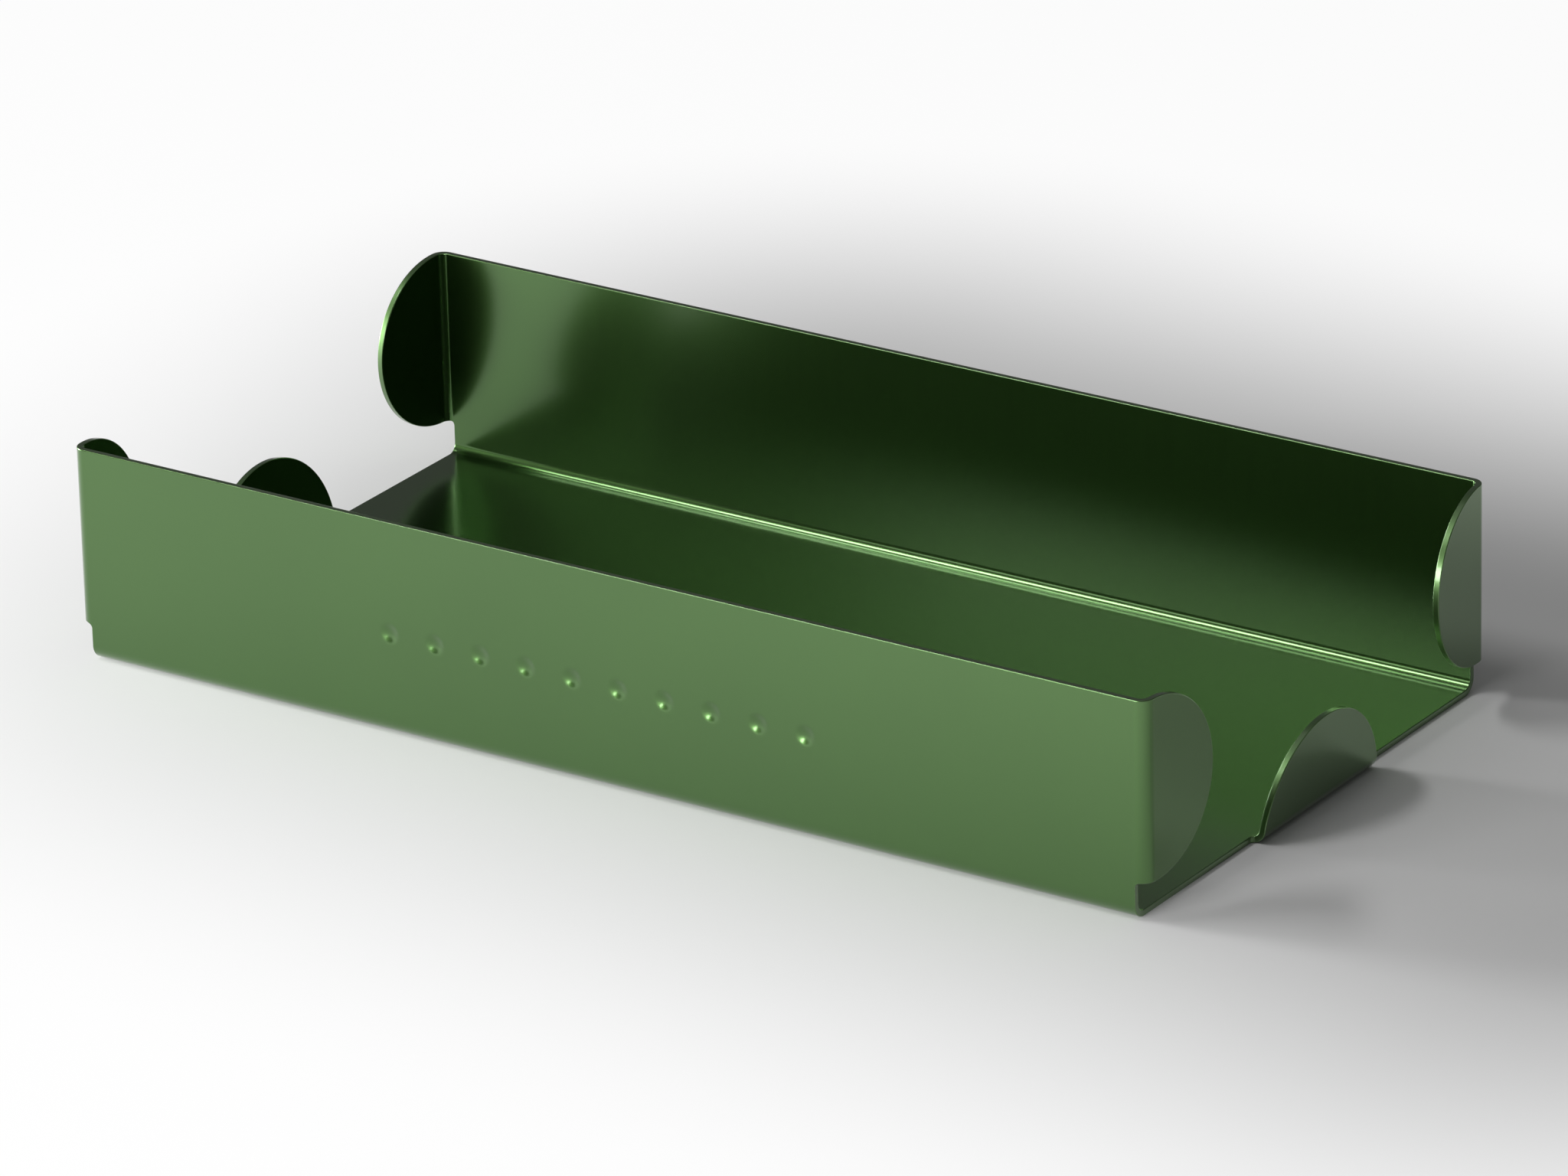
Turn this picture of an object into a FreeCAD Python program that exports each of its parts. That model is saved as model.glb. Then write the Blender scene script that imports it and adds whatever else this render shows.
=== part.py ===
import FreeCAD, Part
import os

# Open tray for rolled coins, folded from one sheet of aluminium, in millimetres.
# X runs along the tray, Y from its front wall to its back wall, and Z up from the table.
# Each flat panel and each bend of the sheet is a solid of its own, and they meet face to face.

# Driving sizes of the folded sheet
tray_length = 190.0       # over the end bends, where the ears and tabs start to lean out
tray_width = 96.0         # over the outsides of the two long walls
tray_height = 34.4        # from the table to the top edges of the walls
sheet = 1.0               # thickness of the sheet
wall_bend_radius = 1.5    # inside of the bends between the floor and the long walls
end_bend_radius = 1.2     # inside of the bends that carry the ears and the tabs
end_flare = 4.5           # degrees by which ears and tabs stop short of a square fold
ear_gap = 3.5             # free end of a wall, between the floor bend and the foot of the ear
ear_reach = 14.2          # from the end of an ear's bend to the far side of its round edge
tab_width = 31.8          # of a stop tab, along its bend
tab_reach = 12.9          # from the end of a tab's bend to the top of its round edge

# Sizes that follow from them
half_width = tray_width / 2
half_tab = tab_width / 2
wall_bend_outside = wall_bend_radius + sheet
end_bend_outside = end_bend_radius + sheet
floor_side = half_width - wall_bend_outside
panel_end = tray_length / 2 - end_bend_outside
ear_foot = wall_bend_outside + ear_gap
ear_middle = (ear_foot + tray_height) / 2
square_fold = 90.0
end_fold = square_fold - end_flare

ORIGIN = FreeCAD.Vector(0, 0, 0)
ALONG = FreeCAD.Vector(1, 0, 0)
ACROSS = FreeCAD.Vector(0, 1, 0)
UP = FreeCAD.Vector(0, 0, 1)

# Lines about which the sheet is bent, for the front wall and the right-hand end
WALL_BEND_LINE = (FreeCAD.Vector(0, -floor_side, wall_bend_outside), -ALONG)
EAR_BEND_LINE = (FreeCAD.Vector(panel_end, end_bend_outside - half_width, 0), UP)
TAB_BEND_LINE = (FreeCAD.Vector(panel_end, 0, end_bend_outside), -ACROSS)


def other_end(shape):
    """The same piece at the left-hand end of the tray."""
    return shape.mirror(ORIGIN, ALONG)


def other_wall(shape):
    """The same piece on the back wall of the tray."""
    return shape.mirror(ORIGIN, ACROSS)


def bend(start, end, thickness, bend_line, angle):
    """The edge of a panel from start to end, swept round a bend line as thick as the sheet."""
    corners = [start, end, end + thickness, start + thickness, start]
    section = Part.Face(Part.makePolygon(corners))
    return section.revolve(*bend_line, angle)


def round_flange(start, far_side, end, thickness, bend_line):
    """A flat flange whose round edge passes three points, turned to the end of its bend."""
    round_edge = Part.Arc(start, far_side, end).toShape()
    straight_edge = Part.makeLine(end, start)
    flange = Part.Face(Part.Wire([round_edge, straight_edge])).extrude(thickness)
    return flange.rotate(*bend_line, end_fold)


def floor_panel():
    """Flat floor between the long bends, which the coin rolls lie across."""
    corner = FreeCAD.Vector(-panel_end, -floor_side, 0)
    return Part.makeBox(2 * panel_end, 2 * floor_side, sheet, corner)


def long_wall():
    """Front wall, from its floor bend up to its top edge."""
    corner = FreeCAD.Vector(-panel_end, -half_width, wall_bend_outside)
    return Part.makeBox(2 * panel_end, sheet, tray_height - wall_bend_outside, corner)


def floor_bend():
    """Square bend from the floor up to the front wall."""
    left = FreeCAD.Vector(-panel_end, -floor_side, 0)
    right = FreeCAD.Vector(panel_end, -floor_side, 0)
    return bend(left, right, UP * sheet, WALL_BEND_LINE, square_fold)


def ear_and_bend():
    """Round ear that closes part of the right-hand end, beside the front wall, and its bend."""
    foot = FreeCAD.Vector(panel_end, -half_width, ear_foot)
    far_side = FreeCAD.Vector(panel_end + ear_reach, -half_width, ear_middle)
    top = FreeCAD.Vector(panel_end, -half_width, tray_height)
    inward = ACROSS * sheet
    ear = round_flange(foot, far_side, top, inward, EAR_BEND_LINE)
    return ear, bend(foot, top, inward, EAR_BEND_LINE, end_fold)


def tab_and_bend():
    """Round tab in the middle of the right-hand end that stops the lowest roll, and its bend."""
    front = FreeCAD.Vector(panel_end, -half_tab, 0)
    far_side = FreeCAD.Vector(panel_end + tab_reach, 0, 0)
    back = FreeCAD.Vector(panel_end, half_tab, 0)
    inward = UP * sheet
    tab = round_flange(front, far_side, back, inward, TAB_BEND_LINE)
    return tab, bend(front, back, inward, TAB_BEND_LINE, end_fold)


nodes = {"floor_panel": floor_panel()}
for name, shape in (("wall", long_wall()), ("floor_bend", floor_bend())):
    nodes["front_" + name] = shape
    nodes["back_" + name] = other_wall(shape)
for name, shape in zip(("ear", "ear_bend"), ear_and_bend()):
    nodes["front_right_" + name] = shape
    nodes["front_left_" + name] = other_end(shape)
    nodes["back_right_" + name] = other_wall(shape)
    nodes["back_left_" + name] = other_wall(other_end(shape))
for name, shape in zip(("stop_tab", "stop_bend"), tab_and_bend()):
    nodes["right_" + name] = shape
    nodes["left_" + name] = other_end(shape)

os.makedirs("parts", exist_ok=True)
for name, shape in nodes.items():
    shape.exportStep("parts/" + name + ".step")
    print(name, "valid" if shape.isValid() else "not valid", round(shape.Volume, 2), "mm3")
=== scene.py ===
import math
from types import SimpleNamespace

import bmesh
import bpy
from bpy.props import FloatProperty, FloatVectorProperty, IntProperty, PointerProperty
from mathutils import Matrix, Vector
from mathutils.geometry import delaunay_2d_cdt


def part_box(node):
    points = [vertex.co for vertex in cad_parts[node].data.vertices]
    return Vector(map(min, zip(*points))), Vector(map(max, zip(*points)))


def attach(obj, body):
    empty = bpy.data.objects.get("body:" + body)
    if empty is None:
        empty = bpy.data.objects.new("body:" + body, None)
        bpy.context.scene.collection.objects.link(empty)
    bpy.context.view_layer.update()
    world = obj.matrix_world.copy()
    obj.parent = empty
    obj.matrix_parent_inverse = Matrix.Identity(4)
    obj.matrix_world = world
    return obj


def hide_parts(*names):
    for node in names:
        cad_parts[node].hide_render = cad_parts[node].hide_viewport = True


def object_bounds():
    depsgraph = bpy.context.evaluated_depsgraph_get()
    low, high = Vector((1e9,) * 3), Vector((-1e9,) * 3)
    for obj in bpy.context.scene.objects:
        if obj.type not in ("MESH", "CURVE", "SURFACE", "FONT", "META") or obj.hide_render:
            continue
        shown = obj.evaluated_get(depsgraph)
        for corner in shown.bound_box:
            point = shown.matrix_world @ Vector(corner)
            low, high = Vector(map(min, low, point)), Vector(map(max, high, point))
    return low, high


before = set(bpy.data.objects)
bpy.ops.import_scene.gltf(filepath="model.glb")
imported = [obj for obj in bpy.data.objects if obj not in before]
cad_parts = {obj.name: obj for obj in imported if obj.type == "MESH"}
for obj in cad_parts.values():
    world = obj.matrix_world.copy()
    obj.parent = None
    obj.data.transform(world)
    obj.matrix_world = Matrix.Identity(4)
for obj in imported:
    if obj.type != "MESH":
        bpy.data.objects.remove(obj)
CAD_BOX = [list(corner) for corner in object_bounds()]

bl_info = {
    "name": "Rolled Coin Tray",
    "version": (1, 0, 0),
    "blender": (4, 5, 0),
    "location": "View3D > Sidebar > Coin Tray",
    "description": "Cuts a flat blank of anodised sheet and folds it into a tray for rolled coins",
    "category": "Object",
}

MM = 0.001
QUARTER_TURN = math.pi / 2
TOUCH = 1e-7              # metres within which two points count as one
JOIN_GAP = 2e-6           # metres within which the dimples' squares are joined to the front wall
RIM_STEPS = 4             # facets round each rounding of a cut edge
DIMPLE_STEPS = 48         # facets round a dimple
DIMPLE_LOOPS = 11         # loops from a dimple's middle to the side of its square
BODY = "root"

# Names that the blank's attributes have in the meshes, the node trees and the finish
FLAT_NORMAL = "flat_normal"
BLANK_PLACE = "blank_place"
CUT_EDGE = "cut_edge"

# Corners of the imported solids, which the folded sheet keeps to
FLOOR_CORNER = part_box("floor_panel")[1]
WALL_FOOT, WALL_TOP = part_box("back_wall")
EAR_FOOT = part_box("back_right_ear")[0]
TAB_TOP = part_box("right_stop_tab")[1]
STOP_BEND_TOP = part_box("right_stop_bend")[1]


def length(name, description, default):
    """A size in metres."""
    return FloatProperty(
        name=name, description=description, default=default, precision=5, subtype="DISTANCE", unit="LENGTH"
    )


def angle(name, description, degrees):
    """An angle, written in degrees."""
    return FloatProperty(
        name=name, description=description, default=math.radians(degrees), subtype="ANGLE", unit="ROTATION"
    )


def share(name, description, default):
    """A number from 0 to 1."""
    return FloatProperty(
        name=name, description=description, default=default, min=0, max=1, subtype="FACTOR"
    )


def colour(name, description, default):
    """A linear colour."""
    return FloatVectorProperty(
        name=name, description=description, default=default, min=0, max=1, subtype="COLOR"
    )


class SheetSizes(bpy.types.PropertyGroup):
    """Sizes of the folded sheet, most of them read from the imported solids."""

    thickness: length("Thickness", "Thickness of the sheet", FLOOR_CORNER.z)
    panel_end: length("Panel End", "From the middle to the ends of the floor and the walls", FLOOR_CORNER.x)
    floor_side: length("Floor Side", "From the middle to the long bends", FLOOR_CORNER.y)
    wall_rise: length("Wall Rise", "Flat height of a wall above its bend", WALL_TOP.z - WALL_FOOT.z)
    wall_radius: length("Wall Radius", "Inside of the long bends", WALL_FOOT.z - FLOOR_CORNER.z)
    end_radius: length("End Radius", "Inside of the bends of the ears and tabs", 1.2 * MM)
    end_flare: angle("End Flare", "By which ears and tabs stop short of a square fold", 4.5)
    ear_gap: length("Ear Gap", "Free end of a wall below its ear", EAR_FOOT.z - WALL_FOOT.z)
    half_tab: length("Half Tab", "From the middle to the side of a stop tab", TAB_TOP.y)
    tab_rise: length("Tab Rise", "Height of a stop tab above its bend", TAB_TOP.z - STOP_BEND_TOP.z)
    corner_radius: length("Corner Radius", "Inside corners beside the ears and tabs", 0.7 * MM)
    edge_radius: length("Edge Radius", "Rounding of the cut edges", 0.16 * MM)
    bend_steps: IntProperty(name="Bend Steps", description="Facets round a bend", default=24, min=4)
    arc_steps: IntProperty(name="Arc Steps", description="Facets round an ear or a tab", default=96, min=12)


class MarkSizes(bpy.types.PropertyGroup):
    """Sizes of the plain round dimples pressed into the front wall."""

    count: IntProperty(name="Count", description="Dimples in the row", default=10, min=1)
    pitch: length("Pitch", "From one dimple to the next", 8.2 * MM)
    dimple_radius: length("Dimple Radius", "From the middle of a dimple to its edge", 1.9 * MM)
    dimple_depth: length("Dimple Depth", "Depth of a dimple in its middle", 0.36 * MM)
    height: length("Height", "Middle of the row above the table", 16.5 * MM)


class FinishLook(bpy.types.PropertyGroup):
    """Look of the anodised sheet."""

    dye: colour("Dye", "Green of the anodised metal", (0.068, 0.170, 0.033))
    # The cut edges get a paler green: partly edge wear, partly a painted highlight along the rims.
    worn_and_highlit: colour("Worn", "Paler green of the worn metal", (0.190, 0.300, 0.140))
    wear_and_highlight: share("Wear", "Worn metal in the colour of the cut edges", 0.4)
    roughness: share("Roughness", "Of the metal under its clear skin", 0.24)
    edge_roughness: share("Edge Roughness", "Added to the roughness along the cut edges", 0.12)
    skin_roughness: share("Skin Roughness", "Of the clear skin", 0.16)
    skin_ior: FloatProperty(name="Skin IOR", description="Refractive index of the clear skin", default=1.6)
    grain_scale: FloatVectorProperty(
        name="Grain Scale", description="Streaks of the rolled grain in a metre of the blank", subtype="XYZ",
        default=(4000, 60, 4000),
    )
    grain_depth: length("Grain Depth", "Height of the rolled grain", 0.02 * MM)
    grain_strength: share("Grain Strength", "Of the rolled grain in the shading", 0.02)
    grain_roughness: share("Grain Roughness", "Spread of the roughness in the rolled grain", 0.04)
    cloud_scale: FloatProperty(name="Cloud Scale", description="Clouds of tone in a metre", default=30)
    cloud_tone: share("Cloud Tone", "Spread of the tone from cloud to cloud", 0.16)


class StageLook(bpy.types.PropertyGroup):
    """Camera, table and surround."""

    azimuth: angle("Azimuth", "Camera round the tray, from the front", 34.118)
    elevation: angle("Elevation", "Camera above the table", 22.805)
    roll: angle("Roll", "Camera about its own line of sight", -1.416)
    distance: length("Distance", "Camera to the point that it looks at", 1564.2 * MM)
    aim: FloatVectorProperty(
        name="Aim", description="Point that the camera looks at", subtype="TRANSLATION", unit="LENGTH",
        default=(1.51 * MM, -0.23 * MM, 14.73 * MM),
    )
    lens: FloatProperty(
        name="Lens", description="Focal length in millimetres", subtype="DISTANCE_CAMERA", unit="CAMERA",
        default=239.77,
    )
    table: colour("Table", "Pale table under the tray", (0.70, 0.70, 0.70))
    table_radius: length("Table Radius", "From the tray to the rim of the table", 12.0)
    shade: FloatVectorProperty(
        name="Shade", description="Middle of the shaded part of the table", subtype="TRANSLATION",
        unit="LENGTH", default=(45 * MM, 32 * MM, 0),
    )
    shade_fade: length("Shade Fade", "From the shaded part to where the table is whitest", 140 * MM)
    far_white: share("Far White", "Plain white in the table where it is whitest", 0.95)
    surround: colour("Surround", "Dim studio round the tray", (0.11, 0.11, 0.11))


# The flat blank


def blank_plan(sheet):
    """Sizes of the flat blank, which follow from those of the folded sheet."""
    end_fold = QUARTER_TURN - sheet.end_flare
    plan = SimpleNamespace(
        end_fold=end_fold,
        end_arc=end_fold * (sheet.end_radius + sheet.thickness / 2),
        wall_arc=QUARTER_TURN * (sheet.wall_radius + sheet.thickness / 2),
        tab_reach=sheet.tab_rise / math.sin(end_fold),
    )
    plan.flange_start = sheet.panel_end + plan.end_arc
    plan.wall_start = sheet.floor_side + plan.wall_arc
    plan.ear_foot = plan.wall_start + sheet.ear_gap
    plan.ear_top = plan.wall_start + sheet.wall_rise
    return plan


def arc(centre, radius, start, end, steps):
    """Points on a circle from one angle to another, in degrees."""
    turns = [math.radians(start + (end - start) * i / steps) for i in range(steps + 1)]
    return [centre + radius * Vector((math.cos(turn), math.sin(turn))) for turn in turns]


def blank_outline(sheet, plan):
    """Outline of the blank, counter-clockwise: one quarter of it, mirrored to the rest."""
    corner = sheet.corner_radius
    corner_x = sheet.panel_end + corner
    corner_steps = sheet.arc_steps // 12
    ear_middle = Vector((plan.flange_start, -(plan.ear_foot + plan.ear_top) / 2))
    ear_radius = (plan.ear_top - plan.ear_foot) / 2
    tab_radius = (sheet.half_tab**2 + plan.tab_reach**2) / (2 * plan.tab_reach)
    tab_middle = Vector((plan.flange_start + plan.tab_reach - tab_radius, 0))
    tab_start = -math.degrees(math.asin(sheet.half_tab / tab_radius))
    quarter = [
        *arc(ear_middle, ear_radius, -90, 90, sheet.arc_steps),
        *arc(Vector((corner_x, corner - plan.ear_foot)), corner, -90, -180, corner_steps),
        *arc(Vector((corner_x, -sheet.half_tab - corner)), corner, 180, 90, corner_steps),
        *arc(tab_middle, tab_radius, tab_start, 0, sheet.arc_steps // 2),
    ]
    right_end = quarter + [Vector((x, -y)) for x, y in reversed(quarter[:-1])]
    return right_end + [Vector((-x, y)) for x, y in reversed(right_end)]


def outward_normals(outline):
    """Direction out of the blank at each point of its outline."""
    normals = []
    for i, point in enumerate(outline):
        before = (point - outline[i - 1]).normalized()
        after = (outline[(i + 1) % len(outline)] - point).normalized()
        along = (before + after).normalized()
        normals.append(Vector((along.y, -along.x)))
    return normals


def rim_profile(thickness, radius):
    """Inset, height, and outward and upward share of the normal, round a cut edge of the sheet."""
    turns = [QUARTER_TURN * i / RIM_STEPS for i in range(RIM_STEPS + 1)]
    lower = [
        (radius * (1 - math.sin(turn)), radius * (1 - math.cos(turn)), math.sin(turn), -math.cos(turn))
        for turn in turns
    ]
    upper = [(inset, thickness - height, out, -up) for inset, height, out, up in reversed(lower)]
    return lower + upper


def mark_place(sheet, marks, plan):
    """Middle of the row of dimples on the outside of the blank."""
    above_bend = marks.height - sheet.wall_radius - sheet.thickness
    return Vector((0, -(plan.wall_start + above_bend), 0))


def window_outline(marks, middle):
    """Rectangle that the dimples' squares fill in the front wall, with the points along their sides."""
    half = marks.pitch / 2
    eighth = DIMPLE_STEPS // 8
    side = [half * math.tan(2 * math.pi * i / DIMPLE_STEPS) for i in range(-eighth, eighth + 1)]
    dimple_places = [(i - (marks.count - 1) / 2) * marks.pitch for i in range(marks.count)]
    decimals = 9
    along = sorted({round(place + step, decimals) for place in dimple_places for step in side})
    end = along[-1]
    bottom = [Vector((x, middle - half)) for x in along[:-1]]
    right = [Vector((end, middle + step)) for step in side[:-1]]
    return bottom + right + [Vector((-x, 2 * middle - y)) for x, y in bottom + right]


def raise_rim(bm, outline, sheet):
    """Rounded cut edge of the blank, as rows of points from its outside to its inside."""
    normal_of = bm.verts.layers.float_vector[FLAT_NORMAL]
    edge_of = bm.verts.layers.float[CUT_EDGE]
    normals = outward_normals(outline)
    rows = []
    for inset, height, out, up in rim_profile(sheet.thickness, sheet.edge_radius):
        row = []
        for point, normal in zip(outline, normals):
            x, y = point - normal * inset
            vert = bm.verts.new((x, y, height))
            vert[normal_of] = Vector((normal.x * out, normal.y * out, up))
            vert[edge_of] = out
            row.append(vert)
        rows.append(row)
    for lower, upper in zip(rows, rows[1:]):
        for i in range(len(outline)):
            bm.faces.new((lower[i - 1], lower[i], upper[i], upper[i - 1]))
    return rows


def fill_face(bm, loops, facing_up, in_window=None):
    """Fills the blank's outline with triangles, and leaves its window open where it has one."""
    verts = [vert for loop in loops for vert in loop]
    edges = []
    first = 0
    for loop in loops:
        edges += [(first + i, first + (i + 1) % len(loop)) for i in range(len(loop))]
        first += len(loop)
    triangles_inside = 1
    points = [vert.co.to_2d() for vert in verts]
    _, _, triangles, sources, _, _ = delaunay_2d_cdt(points, edges, [], triangles_inside, TOUCH)
    for triangle in triangles:
        corners = [verts[sources[i][0]] for i in triangle]
        middle = sum((vert.co for vert in corners), Vector()) / 3
        if in_window is None or not in_window(middle):
            bm.faces.new(corners if facing_up else reversed(corners))


def score_bends(bm, sheet, plan):
    """Cuts the blank's faces along the bend lines and the facets of the bends."""
    for i in range(sheet.bend_steps + 1):
        part = i / sheet.bend_steps
        line_x = Vector((sheet.panel_end + part * plan.end_arc, 0, 0))
        line_y = Vector((0, sheet.floor_side + part * plan.wall_arc, 0))
        for line in (line_x, -line_x, line_y, -line_y):
            geometry = [*bm.verts, *bm.edges, *bm.faces]
            bmesh.ops.bisect_plane(bm, geom=geometry, dist=TOUCH, plane_co=line, plane_no=line.normalized())


def flat_blank(sheet, marks):
    """Mesh of the cut-out blank, flat on the table with its outside down and its rim rounded."""
    plan = blank_plan(sheet)
    bm = bmesh.new()
    bm.verts.layers.float_vector.new(FLAT_NORMAL)
    bm.verts.layers.float.new(CUT_EDGE)
    rows = raise_rim(bm, blank_outline(sheet, plan), sheet)
    middle = mark_place(sheet, marks, plan).y
    window = [bm.verts.new((x, y, 0)) for x, y in window_outline(marks, middle)]
    normal_of = bm.verts.layers.float_vector[FLAT_NORMAL]
    for vert in window:
        vert[normal_of] = Vector((0, 0, -1))
    half_row = marks.count * marks.pitch / 2

    def in_window(place):
        return abs(place.x) < half_row and abs(place.y - middle) < marks.pitch / 2

    fill_face(bm, [rows[0], window], facing_up=False, in_window=in_window)
    fill_face(bm, [rows[-1]], facing_up=True)
    score_bends(bm, sheet, plan)
    for face in bm.faces:
        face.smooth = True
    bm.to_mesh(bpy.data.meshes.new("flat_blank"))
    bm.free()


def zones(sheet, plan):
    """Lowest and highest place of each stretch of the blank, along it and across it."""
    end = sheet.panel_end + TOUCH
    side = sheet.floor_side
    past_all = plan.flange_start + plan.ear_top
    along = {
        "middle": (-end, end),
        "right_bend": (end, plan.flange_start),
        "left_bend": (-plan.flange_start, -end),
        "right_flange": (plan.flange_start, past_all),
        "left_flange": (-past_all, -plan.flange_start),
    }
    across = {
        "floor": (-side, side),
        "front_bend": (-plan.wall_start, -side),
        "back_bend": (side, plan.wall_start),
        "front_wall": (-past_all, -plan.wall_start),
        "back_wall": (plan.wall_start, past_all),
    }
    return along, across


def cut_piece(blank, sheet, name, along_zone, across_zone):
    """Object with one panel or bend of the blank, closed where it was cut from its neighbours."""
    plan = blank_plan(sheet)
    along, across = zones(sheet, plan)
    low_x, high_x = along[along_zone]
    low_y, high_y = across[across_zone]
    bm = bmesh.new()
    bm.from_mesh(blank)
    others = []
    for face in bm.faces:
        x, y, _ = face.calc_center_median()
        if not (low_x < x < high_x and low_y < y < high_y):
            others.append(face)
    bmesh.ops.delete(bm, geom=others, context="FACES")
    seams_x = (sheet.panel_end, plan.flange_start)
    seams_y = (sheet.floor_side, plan.wall_start)

    def on_seam(vert):
        near_x = any(abs(abs(vert.co.x) - seam) < 2 * TOUCH for seam in seams_x)
        return near_x or any(abs(abs(vert.co.y) - seam) < 2 * TOUCH for seam in seams_y)

    open_edges = [edge for edge in bm.edges if edge.is_boundary and all(map(on_seam, edge.verts))]
    seam_faces = bmesh.ops.holes_fill(bm, edges=open_edges, sides=0)["faces"]
    bmesh.ops.triangulate(bm, faces=seam_faces, ngon_method="BEAUTY")
    bmesh.ops.recalc_face_normals(bm, faces=bm.faces)
    mesh = bpy.data.meshes.new(name)
    bm.to_mesh(mesh)
    bm.free()
    piece = bpy.data.objects.new(name, mesh)
    bpy.context.scene.collection.objects.link(piece)
    return piece


# Node trees


def add_node(tree, kind, inputs=(), **settings):
    """A node with its settings, and its inputs linked or set, by name or by place."""
    node = tree.nodes.new(kind)
    for setting, value in settings.items():
        setattr(node, setting, value)
    for key, value in dict(inputs).items():
        if isinstance(value, bpy.types.NodeSocket):
            tree.links.new(value, node.inputs[key])
        else:
            node.inputs[key].default_value = value
    return node


def calc(tree, operation, *values):
    """Result of a Math node."""
    return add_node(tree, "ShaderNodeMath", enumerate(values), operation=operation).outputs[0]


def times(tree, first, second):
    """Product of two numbers."""
    return calc(tree, "MULTIPLY", first, second)


def calc_vector(tree, operation, *values):
    """Result of a Vector Math node: a number for a product or a length, and a vector otherwise."""
    places = (0, "Scale") if operation == "SCALE" else range(len(values))
    node = add_node(tree, "ShaderNodeVectorMath", zip(places, values), operation=operation)
    return node.outputs["Value" if operation in ("DOT_PRODUCT", "LENGTH") else "Vector"]


def combine(tree, *values):
    """Vector made of three numbers."""
    return add_node(tree, "ShaderNodeCombineXYZ", enumerate(values)).outputs[0]


def geometry_tree(name, inputs):
    """Empty node tree with a geometry in and out, and named inputs; also its two end nodes."""
    tree = bpy.data.node_groups.new(name, "GeometryNodeTree")
    tree.interface.new_socket("Geometry", in_out="INPUT", socket_type="NodeSocketGeometry")
    for socket, kind in inputs.items():
        tree.interface.new_socket(socket, in_out="INPUT", socket_type="NodeSocket" + kind)
    tree.interface.new_socket("Geometry", in_out="OUTPUT", socket_type="NodeSocketGeometry")
    return tree, tree.nodes.new("NodeGroupInput").outputs, tree.nodes.new("NodeGroupOutput").inputs


def add_modifier(piece, tree, values):
    """Nodes modifier with its inputs set by their identifiers."""
    modifier = piece.modifiers.new(tree.name, "NODES")
    modifier.node_group = tree
    for item in tree.interface.items_tree:
        if item.in_out == "INPUT" and item.name in values:
            modifier[item.identifier] = values[item.name]


def attribute(tree, name):
    """Field that reads a named vector attribute."""
    return add_node(
        tree, "GeometryNodeInputNamedAttribute", {"Name": name}, data_type="FLOAT_VECTOR"
    ).outputs[0]


def store(tree, geometry, name, value):
    """Geometry with a vector attribute stored on its points."""
    node = add_node(
        tree, "GeometryNodeStoreNamedAttribute", {"Geometry": geometry, "Name": name},
        data_type="FLOAT_VECTOR", domain="POINT",
    )
    tree.links.new(value, node.inputs["Value"])
    return node.outputs[0]


def end_tree(tree, geometry, material, result):
    """Ends a tree with plain geometry in its finish."""
    real = add_node(tree, "GeometryNodeRealizeInstances", {"Geometry": geometry})
    painted = add_node(tree, "GeometryNodeSetMaterial", {"Geometry": real.outputs[0], "Material": material})
    tree.links.new(painted.outputs[0], result[0])


def bend_tree():
    """Bends a flat sheet up along two lines, one each side of its middle, and turns its normals."""
    tree, given, result = geometry_tree("bend_both_sides", {
        "Across": "Vector", "Bend Start": "Float", "Arc Length": "Float",
        "Outside Radius": "Float", "Fold": "Float",
    })
    place = tree.nodes.new("GeometryNodeInputPosition").outputs[0]
    height = add_node(tree, "ShaderNodeSeparateXYZ", {0: place}).outputs[2]
    reach = calc_vector(tree, "DOT_PRODUCT", place, given["Across"])
    side = calc(tree, "SIGN", reach)
    past = calc(tree, "SUBTRACT", calc(tree, "ABSOLUTE", reach), given["Bend Start"])
    on_bend = calc(tree, "MINIMUM", calc(tree, "MAXIMUM", past, 0.0), given["Arc Length"])
    turn = times(tree, calc(tree, "DIVIDE", on_bend, given["Arc Length"]), given["Fold"])
    sine = calc(tree, "SINE", turn)
    cosine = calc(tree, "COSINE", turn)

    def turned(outward, upward):
        out = calc(tree, "SUBTRACT", times(tree, outward, cosine), times(tree, upward, sine))
        up = calc(tree, "ADD", times(tree, outward, sine), times(tree, upward, cosine))
        return out, up

    def moved(vector, old_reach, old_height, new_reach, new_height):
        sideways = calc(tree, "SUBTRACT", times(tree, new_reach, side), old_reach)
        upwards = combine(tree, 0.0, 0.0, calc(tree, "SUBTRACT", new_height, old_height))
        across = calc_vector(tree, "SCALE", given["Across"], sideways)
        return calc_vector(tree, "ADD", calc_vector(tree, "ADD", vector, across), upwards)

    normal = attribute(tree, FLAT_NORMAL)
    normal_reach = calc_vector(tree, "DOT_PRODUCT", normal, given["Across"])
    normal_height = add_node(tree, "ShaderNodeSeparateXYZ", {0: normal}).outputs[2]
    normal_out, normal_up = turned(times(tree, normal_reach, side), normal_height)
    new_normal = moved(normal, normal_reach, normal_height, normal_out, normal_up)

    past_bend = calc(tree, "SUBTRACT", past, on_bend)
    above_axis = calc(tree, "SUBTRACT", height, given["Outside Radius"])
    out, up = turned(past_bend, above_axis)
    new_reach = calc(tree, "ADD", given["Bend Start"], out)
    new_height = calc(tree, "ADD", given["Outside Radius"], up)
    new_place = moved(place, reach, height, new_reach, new_height)

    stored = store(tree, given["Geometry"], FLAT_NORMAL, new_normal)
    bent = add_node(tree, "GeometryNodeSetPosition", {"Geometry": stored, "Position": new_place})
    tree.links.new(bent.outputs[0], result[0])
    return tree


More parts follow.
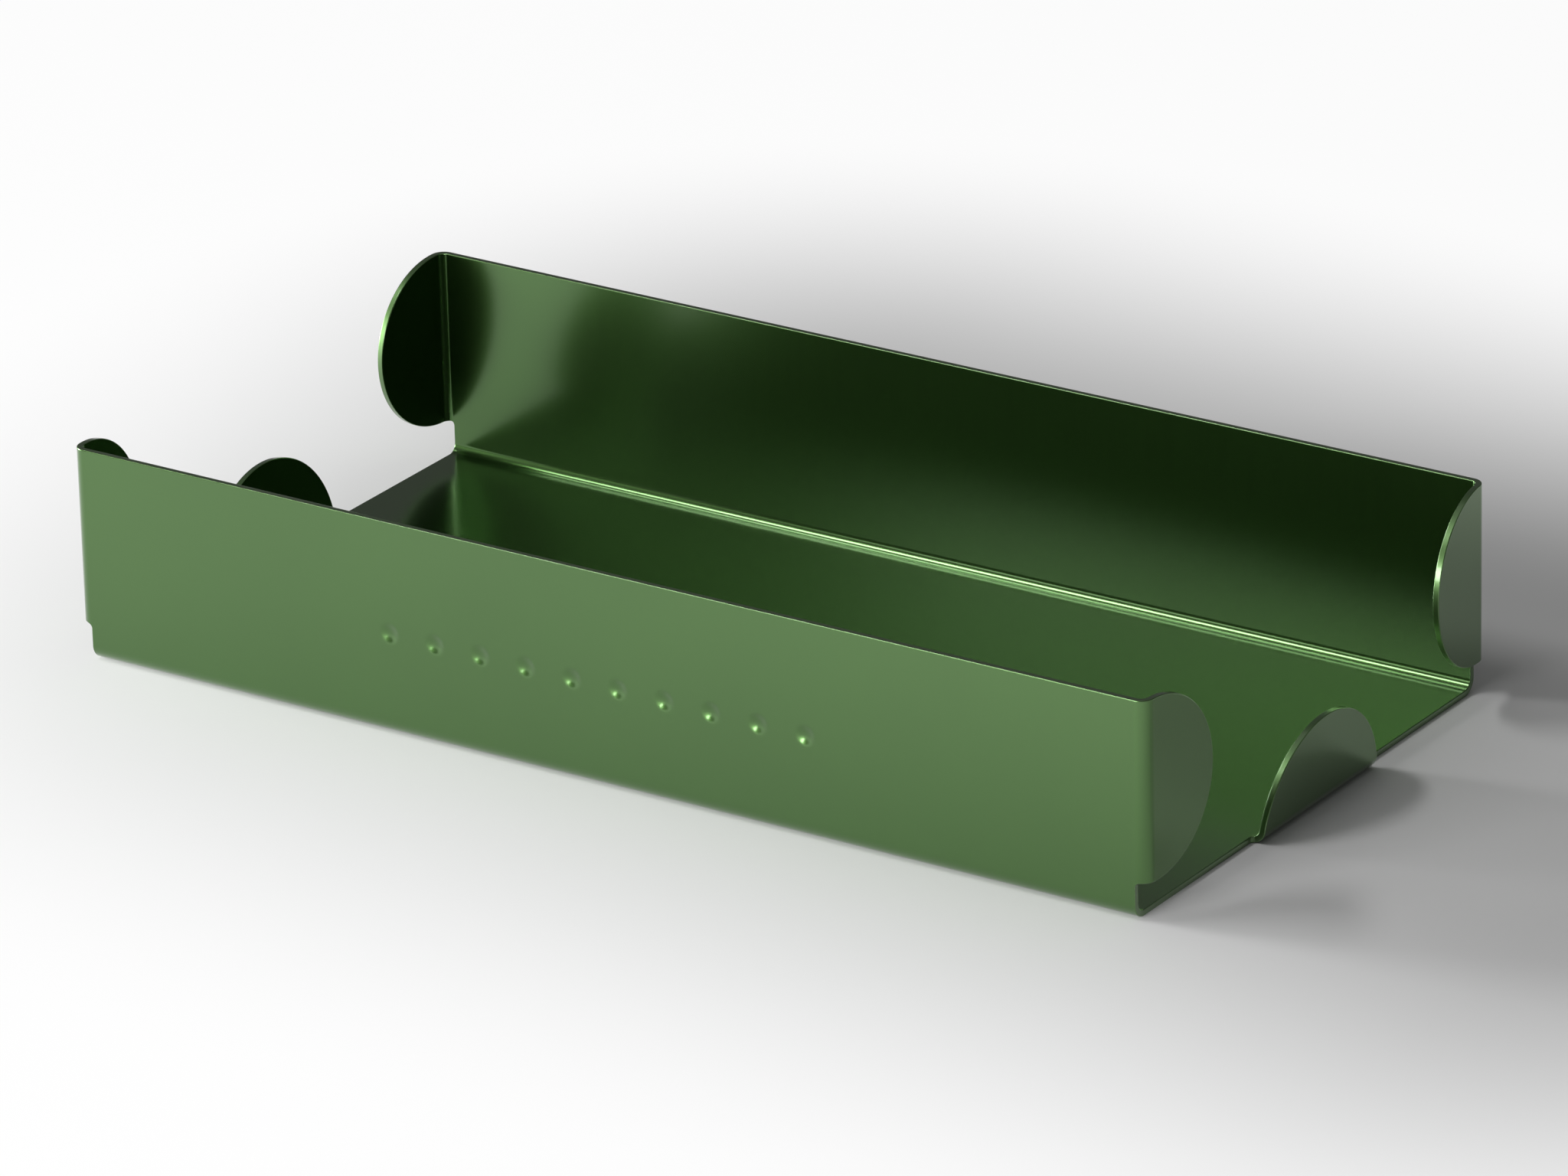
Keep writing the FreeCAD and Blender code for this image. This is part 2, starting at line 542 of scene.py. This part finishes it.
def fold_tree():
    """Folds a piece of the blank: the ears and tabs up from its ends, and then the walls."""
    tree, given, result = geometry_tree("fold_blank", {
        "Panel End": "Float", "End Arc": "Float", "End Outside": "Float", "End Fold": "Float",
        "Floor Side": "Float", "Wall Arc": "Float", "Wall Outside": "Float", "Wall Fold": "Float",
        "Material": "Material",
    })
    bend = bend_tree()
    place = tree.nodes.new("GeometryNodeInputPosition").outputs[0]
    shape = store(tree, given["Geometry"], BLANK_PLACE, place)
    folds = (
        ((1, 0, 0), "Panel End", "End Arc", "End Outside", "End Fold"),
        ((0, 1, 0), "Floor Side", "Wall Arc", "Wall Outside", "Wall Fold"),
    )
    for across, start, arc_length, outside, fold in folds:
        shape = add_node(tree, "GeometryNodeGroup", {
            "Geometry": shape, "Across": across, "Bend Start": given[start],
            "Arc Length": given[arc_length], "Outside Radius": given[outside], "Fold": given[fold],
        }, node_tree=bend).outputs[0]
    shaded = add_node(tree, "GeometryNodeSetMeshNormal", {"Mesh": shape}, mode="FREE", domain="POINT")
    tree.links.new(attribute(tree, FLAT_NORMAL), shaded.inputs["Custom Normal"])
    end_tree(tree, shaded.outputs[0], given["Material"], result)


def dimple_square(tree, given):
    """Square of the sheet's outside as wide as the pitch, with a round dimple in its middle."""
    grid = add_node(tree, "GeometryNodeMeshGrid", {
        "Size X": 1.0, "Size Y": 1.0, "Vertices X": DIMPLE_LOOPS, "Vertices Y": DIMPLE_STEPS + 1,
    })
    place = tree.nodes.new("GeometryNodeInputPosition").outputs[0]
    grid_x, grid_y, _ = add_node(tree, "ShaderNodeSeparateXYZ", {0: place}).outputs
    turn = times(tree, calc(tree, "ADD", grid_y, 0.5), 2 * math.pi)
    sine = calc(tree, "SINE", turn)
    cosine = calc(tree, "COSINE", turn)

    loop_gap = 1 / (DIMPLE_LOOPS - 1)
    step = calc(tree, "DIVIDE", calc(tree, "ADD", grid_x, 0.5), 1 - loop_gap)
    outward = calc(tree, "MINIMUM", step, 1.0)
    at_square = calc(tree, "GREATER_THAN", grid_x, 0.5 - loop_gap / 2)
    in_dimple = calc(tree, "SUBTRACT", 1.0, at_square)
    dimple_radius = times(tree, times(tree, outward, given["Dimple Radius"]), in_dimple)
    wider = calc(tree, "MAXIMUM", calc(tree, "ABSOLUTE", sine), calc(tree, "ABSOLUTE", cosine))
    square_radius = calc(tree, "DIVIDE", calc(tree, "DIVIDE", given["Pitch"], 2.0), wider)
    radius = calc(tree, "MULTIPLY_ADD", square_radius, at_square, dimple_radius)

    # The depth goes with (1 - outward^2)^2, and so the slope with -4 outward (1 - outward^2)
    bowl = calc(tree, "SUBTRACT", 1.0, times(tree, outward, outward))
    depth = times(tree, given["Dimple Depth"], times(tree, bowl, bowl))
    proportion = calc(tree, "DIVIDE", given["Dimple Depth"], given["Dimple Radius"])
    slope_share = times(tree, times(tree, outward, bowl), -4.0)
    slope = times(tree, proportion, slope_share)
    slope_x = times(tree, slope, cosine)
    slope_y = times(tree, slope, sine)
    dimple_normal = calc_vector(tree, "NORMALIZE", combine(tree, slope_x, slope_y, -1.0))
    dimple_x = times(tree, radius, cosine)
    dimple_y = times(tree, radius, sine)
    dimple_place = combine(tree, dimple_x, dimple_y, depth)

    stored = store(tree, grid.outputs["Mesh"], FLAT_NORMAL, dimple_normal)
    square = add_node(tree, "GeometryNodeSetPosition", {"Geometry": stored, "Position": dimple_place})
    return add_node(tree, "GeometryNodeFlipFaces", {"Mesh": square.outputs[0]}).outputs[0]


def dimple_tree():
    """Fills the window in the front wall with a row of squares, each with a round dimple."""
    tree, given, result = geometry_tree("press_dimples", {
        "Count": "Int", "Pitch": "Float", "Dimple Radius": "Float", "Dimple Depth": "Float",
        "Middle": "Vector", "Material": "Material",
    })
    square = dimple_square(tree, given)
    row_half = times(tree, calc(tree, "SUBTRACT", given["Count"], 1.0), -0.5)
    row_start = combine(tree, times(tree, row_half, given["Pitch"]), 0.0, 0.0)
    first = calc_vector(tree, "ADD", given["Middle"], row_start)
    row = add_node(tree, "GeometryNodeMeshLine", {
        "Count": given["Count"], "Start Location": first, "Offset": combine(tree, given["Pitch"], 0.0, 0.0),
    })
    squares = add_node(
        tree, "GeometryNodeInstanceOnPoints", {"Points": row.outputs[0], "Instance": square}
    )
    real = add_node(tree, "GeometryNodeRealizeInstances", {"Geometry": squares.outputs[0]})
    joined = tree.nodes.new("GeometryNodeJoinGeometry")
    tree.links.new(real.outputs[0], joined.inputs[0])
    tree.links.new(given["Geometry"], joined.inputs[0])
    closed = add_node(
        tree, "GeometryNodeMergeByDistance", {"Geometry": joined.outputs[0], "Distance": JOIN_GAP}
    )
    smooth = add_node(tree, "GeometryNodeSetShadeSmooth", {"Geometry": closed.outputs[0]})
    end_tree(tree, smooth.outputs[0], given["Material"], result)


# The finish


def green_anodised(look):
    """Satin green anodised aluminium: dyed metal with a rolled grain under a clear, hard skin, and paler cut
    edges, part wear and part painted highlight.
    """
    material = bpy.data.materials.new("green_anodised")
    material.use_nodes = True
    tree = material.node_tree
    shader = next(node for node in tree.nodes if node.type == "BSDF_PRINCIPLED")
    shader.inputs["Metallic"].default_value = 1.0
    shader.inputs["Coat Weight"].default_value = 1.0
    shader.inputs["Coat Roughness"].default_value = look.skin_roughness
    shader.inputs["Coat IOR"].default_value = look.skin_ior

    place = add_node(tree, "ShaderNodeAttribute", attribute_name=BLANK_PLACE).outputs["Vector"]
    grain_place = add_node(tree, "ShaderNodeMapping", {"Vector": place, "Scale": look.grain_scale})
    grain = add_node(
        tree, "ShaderNodeTexNoise", {"Vector": grain_place.outputs[0], "Scale": 1.0, "Detail": 3.0}
    )
    cloud = add_node(
        tree, "ShaderNodeTexNoise", {"Vector": place, "Scale": look.cloud_scale, "Detail": 2.0}
    )

    # Paler green mixed in along the cut edges: partly edge wear, partly a painted highlight along the rims.
    edge = add_node(tree, "ShaderNodeAttribute", attribute_name=CUT_EDGE).outputs["Fac"]
    dye = add_node(tree, "ShaderNodeMix", data_type="RGBA")
    dye.inputs["A"].default_value = (*look.dye, 1)
    dye.inputs["B"].default_value = (*look.worn_and_highlit, 1)
    tree.links.new(times(tree, edge, look.wear_and_highlight), dye.inputs["Factor"])
    tone = calc(tree, "MULTIPLY_ADD", cloud.outputs["Fac"], look.cloud_tone, 1 - look.cloud_tone / 2)
    toned = add_node(tree, "ShaderNodeHueSaturation", {"Value": tone, "Color": dye.outputs["Result"]})
    tree.links.new(toned.outputs[0], shader.inputs["Base Color"])

    smoothest = look.roughness - look.grain_roughness / 2
    metal_rough = calc(tree, "MULTIPLY_ADD", grain.outputs["Fac"], look.grain_roughness, smoothest)
    roughness = calc(tree, "MULTIPLY_ADD", edge, look.edge_roughness, metal_rough)
    tree.links.new(roughness, shader.inputs["Roughness"])
    bump = add_node(tree, "ShaderNodeBump", {
        "Strength": look.grain_strength, "Distance": look.grain_depth, "Height": grain.outputs["Fac"],
    })
    tree.links.new(bump.outputs[0], shader.inputs["Normal"])


# Pieces


def make_piece(context, node, along_zone, across_zone, marked=False):
    """Cuts one piece from the blank, presses and folds it, and puts it in the place of its solid."""
    scene = context.scene
    sheet, marks = scene.coin_tray_sheet, scene.coin_tray_marks
    plan = blank_plan(sheet)
    blank = bpy.data.meshes["flat_blank"]
    material = bpy.data.materials["green_anodised"]
    piece = cut_piece(blank, sheet, node + "_sheet", along_zone, across_zone)
    if marked:
        add_modifier(piece, bpy.data.node_groups["press_dimples"], {
            "Count": marks.count, "Pitch": marks.pitch,
            "Dimple Radius": marks.dimple_radius, "Dimple Depth": marks.dimple_depth,
            "Middle": mark_place(sheet, marks, plan), "Material": material,
        })
    add_modifier(piece, bpy.data.node_groups["fold_blank"], {
        "Panel End": sheet.panel_end, "End Arc": plan.end_arc,
        "End Outside": sheet.end_radius + sheet.thickness, "End Fold": plan.end_fold,
        "Floor Side": sheet.floor_side, "Wall Arc": plan.wall_arc,
        "Wall Outside": sheet.wall_radius + sheet.thickness, "Wall Fold": QUARTER_TURN,
        "Material": material,
    })
    folded = piece.evaluated_get(context.evaluated_depsgraph_get())
    mesh = bpy.data.meshes.new_from_object(folded)
    piece.modifiers.clear()
    piece.data = mesh
    mesh.name = piece.name
    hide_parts(node)
    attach(piece, BODY)


class COINTRAY_OT_blank(bpy.types.Operator):
    """Cut out the flat blank and get its finish and its tools ready"""

    bl_idname = "coin_tray.blank"
    bl_label = "Cut Blank"

    def execute(self, context):
        scene = context.scene
        flat_blank(scene.coin_tray_sheet, scene.coin_tray_marks)
        green_anodised(scene.coin_tray_finish)
        dimple_tree()
        fold_tree()
        return {"FINISHED"}


class COINTRAY_OT_floor(bpy.types.Operator):
    """Make the flat floor that the rolls lie across"""

    bl_idname = "coin_tray.floor"
    bl_label = "Floor"

    def execute(self, context):
        make_piece(context, "floor_panel", "middle", "floor")
        return {"FINISHED"}


class COINTRAY_OT_walls(bpy.types.Operator):
    """Make the two long walls, with a row of dimples pressed into the front one"""

    bl_idname = "coin_tray.walls"
    bl_label = "Walls"

    def execute(self, context):
        make_piece(context, "front_wall", "middle", "front_wall", marked=True)
        make_piece(context, "back_wall", "middle", "back_wall")
        return {"FINISHED"}


class COINTRAY_OT_floor_bends(bpy.types.Operator):
    """Make the long bends between the floor and the walls"""

    bl_idname = "coin_tray.floor_bends"
    bl_label = "Floor Bends"

    def execute(self, context):
        for side in ("front", "back"):
            make_piece(context, side + "_floor_bend", "middle", side + "_bend")
        return {"FINISHED"}


class COINTRAY_OT_ears(bpy.types.Operator):
    """Make the four round ears at the ends of the walls, and their bends"""

    bl_idname = "coin_tray.ears"
    bl_label = "Ears"

    def execute(self, context):
        for side in ("front", "back"):
            for end in ("right", "left"):
                name = side + "_" + end + "_ear"
                make_piece(context, name, end + "_flange", side + "_wall")
                make_piece(context, name + "_bend", end + "_bend", side + "_wall")
        return {"FINISHED"}


class COINTRAY_OT_stop_tabs(bpy.types.Operator):
    """Make the two round stop tabs at the ends of the floor, and their bends"""

    bl_idname = "coin_tray.stop_tabs"
    bl_label = "Stop Tabs"

    def execute(self, context):
        for end in ("right", "left"):
            make_piece(context, end + "_stop_tab", end + "_flange", "floor")
            make_piece(context, end + "_stop_bend", end + "_bend", "floor")
        return {"FINISHED"}


# The stage

# Soft lamps, with angles in degrees, lengths in metres and brightness where white is 1
SOFTBOXES = {
    "left": dict(azimuth=-72, elevation=9, distance=0.48, width=0.14, height=0.14, brightness=44),
    "front": dict(azimuth=0, elevation=14, distance=0.42, width=0.20, height=0.20, brightness=10.5),
    "inside": dict(azimuth=-25, elevation=19, distance=0.50, width=0.20, height=0.14, brightness=2.8),
    "high": dict(azimuth=-56, elevation=55, distance=0.87, width=0.36, height=0.12, brightness=14),
    "overhead": dict(azimuth=0, elevation=90, distance=1.00, width=0.80, height=0.80, brightness=0.3),
}


def direction(azimuth, elevation):
    """Unit vector from the tray, with azimuth 0 in front of it and 90 degrees at its right end."""
    flat = math.cos(elevation)
    return Vector((math.sin(azimuth) * flat, -math.cos(azimuth) * flat, math.sin(elevation)))


def looking_back(back):
    """Turn of a camera or lamp whose back points along a vector."""
    return back.to_track_quat("Z", "Y").to_matrix().to_4x4()


def add_camera(scene, look):
    """Camera at the photograph's viewing angle."""
    camera = bpy.data.objects.new("camera", bpy.data.cameras.new("camera"))
    camera.data.lens = look.lens
    back = direction(look.azimuth, look.elevation)
    place = Matrix.Translation(Vector(look.aim) + back * look.distance)
    camera.matrix_world = place @ looking_back(back) @ Matrix.Rotation(look.roll, 4, "Z")
    scene.collection.objects.link(camera)
    scene.camera = camera


def add_softbox(scene, name, azimuth, elevation, distance, width, height, brightness):
    """Soft lamp that faces the tray and shows in its reflections, and not to the camera."""
    lamp = bpy.data.lights.new(name, "AREA")
    lamp.shape = "RECTANGLE"
    lamp.size = width
    lamp.size_y = height
    lamp.energy = brightness * math.pi * width * height
    softbox = bpy.data.objects.new(name, lamp)
    softbox.visible_camera = False
    back = direction(math.radians(azimuth), math.radians(elevation))
    softbox.matrix_world = Matrix.Translation(back * distance) @ looking_back(back)
    scene.collection.objects.link(softbox)


def pale_table(look):
    """Matt and pale, and plain white to the eye and in reflections away from its shaded part."""
    material = bpy.data.materials.new("pale_table")
    material.use_nodes = True
    tree = material.node_tree
    tree.nodes.clear()
    matt = add_node(tree, "ShaderNodeBsdfDiffuse", {"Color": (*look.table, 1)})
    white = add_node(tree, "ShaderNodeEmission", {"Color": (1, 1, 1, 1), "Strength": 1.0})
    place = tree.nodes.new("ShaderNodeTexCoord").outputs["Object"]
    from_shade = calc_vector(tree, "ABSOLUTE", calc_vector(tree, "SUBTRACT", place, look.shade))
    beside_shade = calc_vector(tree, "SUBTRACT", from_shade, CAD_BOX[1])
    away = calc_vector(tree, "LENGTH", calc_vector(tree, "MAXIMUM", beside_shade, (0, 0, 0)))
    whiteness = add_node(
        tree, "ShaderNodeMapRange", {"Value": away, "From Max": look.shade_fade, "To Max": look.far_white},
        interpolation_type="SMOOTHSTEP",
    ).outputs[0]
    ray = tree.nodes.new("ShaderNodeLightPath").outputs
    mirrored = calc(tree, "MAXIMUM", ray["Is Glossy Ray"], ray["Is Transmission Ray"])
    seen = calc(tree, "MAXIMUM", ray["Is Camera Ray"], mirrored)
    paler = add_node(tree, "ShaderNodeMixShader", {0: times(tree, seen, whiteness)})
    tree.links.new(matt.outputs[0], paler.inputs[1])
    tree.links.new(white.outputs[0], paler.inputs[2])
    output = tree.nodes.new("ShaderNodeOutputMaterial")
    tree.links.new(paler.outputs[0], output.inputs["Surface"])
    return material


def add_table(scene, look):
    """Table that takes the tray's shadow."""
    bm = bmesh.new()
    bmesh.ops.create_circle(bm, cap_ends=True, segments=96, radius=look.table_radius)
    mesh = bpy.data.meshes.new("table")
    bm.to_mesh(mesh)
    bm.free()
    mesh.materials.append(pale_table(look))
    table = bpy.data.objects.new("table", mesh)
    scene.collection.objects.link(table)


def add_surround(scene, look):
    """Dim, even studio."""
    world = bpy.data.worlds.new("studio")
    world.use_nodes = True
    background = next(node for node in world.node_tree.nodes if node.type == "BACKGROUND")
    background.inputs["Color"].default_value = (*look.surround, 1)
    scene.world = world


class COINTRAY_OT_stage(bpy.types.Operator):
    """Set up the table, the lamps and the camera"""

    bl_idname = "coin_tray.stage"
    bl_label = "Stage"

    def execute(self, context):
        scene = context.scene
        look = scene.coin_tray_stage
        scene.view_settings.view_transform = "Standard"
        add_camera(scene, look)
        add_table(scene, look)
        add_surround(scene, look)
        for name, sizes in SOFTBOXES.items():
            add_softbox(scene, name, **sizes)
        return {"FINISHED"}


OPERATORS = (
    COINTRAY_OT_blank,
    COINTRAY_OT_floor,
    COINTRAY_OT_walls,
    COINTRAY_OT_floor_bends,
    COINTRAY_OT_ears,
    COINTRAY_OT_stop_tabs,
    COINTRAY_OT_stage,
)
GROUPS = {
    "coin_tray_sheet": SheetSizes,
    "coin_tray_marks": MarkSizes,
    "coin_tray_finish": FinishLook,
    "coin_tray_stage": StageLook,
}


class COINTRAY_PT_sidebar(bpy.types.Panel):
    """Sizes and steps of the coin tray"""

    bl_idname = "COINTRAY_PT_sidebar"
    bl_label = "Coin Tray"
    bl_space_type = "VIEW_3D"
    bl_region_type = "UI"
    bl_category = "Coin Tray"

    def draw(self, context):
        for name, group in GROUPS.items():
            box = self.layout.box()
            for setting in group.__annotations__:
                box.prop(getattr(context.scene, name), setting)
        for operator in OPERATORS:
            self.layout.operator(operator.bl_idname)


def register():
    """Adds the sizes, the steps and the sidebar to Blender."""
    for group in GROUPS.values():
        bpy.utils.register_class(group)
    for name, group in GROUPS.items():
        setattr(bpy.types.Scene, name, PointerProperty(type=group))
    for shown in (*OPERATORS, COINTRAY_PT_sidebar):
        bpy.utils.register_class(shown)


def unregister():
    """Takes them out again."""
    for shown in reversed((*OPERATORS, COINTRAY_PT_sidebar)):
        bpy.utils.unregister_class(shown)
    for name, group in GROUPS.items():
        delattr(bpy.types.Scene, name)
        bpy.utils.unregister_class(group)


def main():
    """Makes the tray and its stage, and then drops the flat blank."""
    register()
    for operator in OPERATORS:
        family, step = operator.bl_idname.split(".")
        getattr(getattr(bpy.ops, family), step)()
    bpy.data.meshes.remove(bpy.data.meshes["flat_blank"])


if __name__ == "__main__":
    main()
